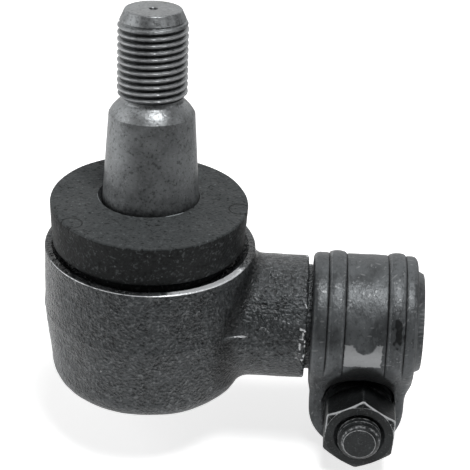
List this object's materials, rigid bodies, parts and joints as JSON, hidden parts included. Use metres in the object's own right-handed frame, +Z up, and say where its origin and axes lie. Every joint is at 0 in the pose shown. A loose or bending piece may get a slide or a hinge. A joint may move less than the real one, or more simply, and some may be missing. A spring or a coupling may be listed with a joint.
{
  "type": "ball joint",
  "caption": "Angle ball joint: forged cup housing with a clamped, threaded shank, a tapered and threaded ball stud and a rubber dust ring. The stud tilts and turns in its seats.",
  "frame": {"origin": "the ball's centre, where the cup's axis meets the shank's axis", "axes": "+Z up along the cup's axis towards the stud, +X along the shank out of its threaded mouth"},
  "size_m": [0.0698, 0.0384, 0.0834],
  "materials": {
    "forged_steel": "satin, dark forged skin",
    "turned_steel": "turned, dulled",
    "bearing_steel": "ground",
    "spring_steel": "plain",
    "black_oxide": "satin black",
    "boot_rubber": "matt"
  },
  "bodies": {
    "housing": {"housing": "forged_steel", "upper_seat": "bearing_steel", "preload_spring": "spring_steel", "cover_plate": "spring_steel", "clamp": "forged_steel", "clamp_bolt": "black_oxide", "lock_washer": "black_oxide", "clamp_nut": "black_oxide"},
    "seat": {"lower_seat": "bearing_steel"},
    "boot": {"dust_boot": "boot_rubber"},
    "stud": {"ball_stud": "turned_steel"}
  },
  "joints": [
    {"name": "swing_direction", "type": "hinge", "parent": "housing", "child": "seat", "pos_m": [0, 0, 0], "axis": [0, 0, 1], "continuous": true},
    {"name": "stud_tilt", "type": "hinge", "parent": "seat", "child": "boot", "pos_m": [0, 0, 0], "axis": [-0.9945, -0.1045, 0], "range_deg": [-25, 11], "deforming": ["dust_boot"]},
    {"name": "stud_spin", "type": "hinge", "parent": "boot", "child": "stud", "pos_m": [0, 0, 0], "axis": [-0.0127, 0.1212, 0.9925], "continuous": true}
  ]
}
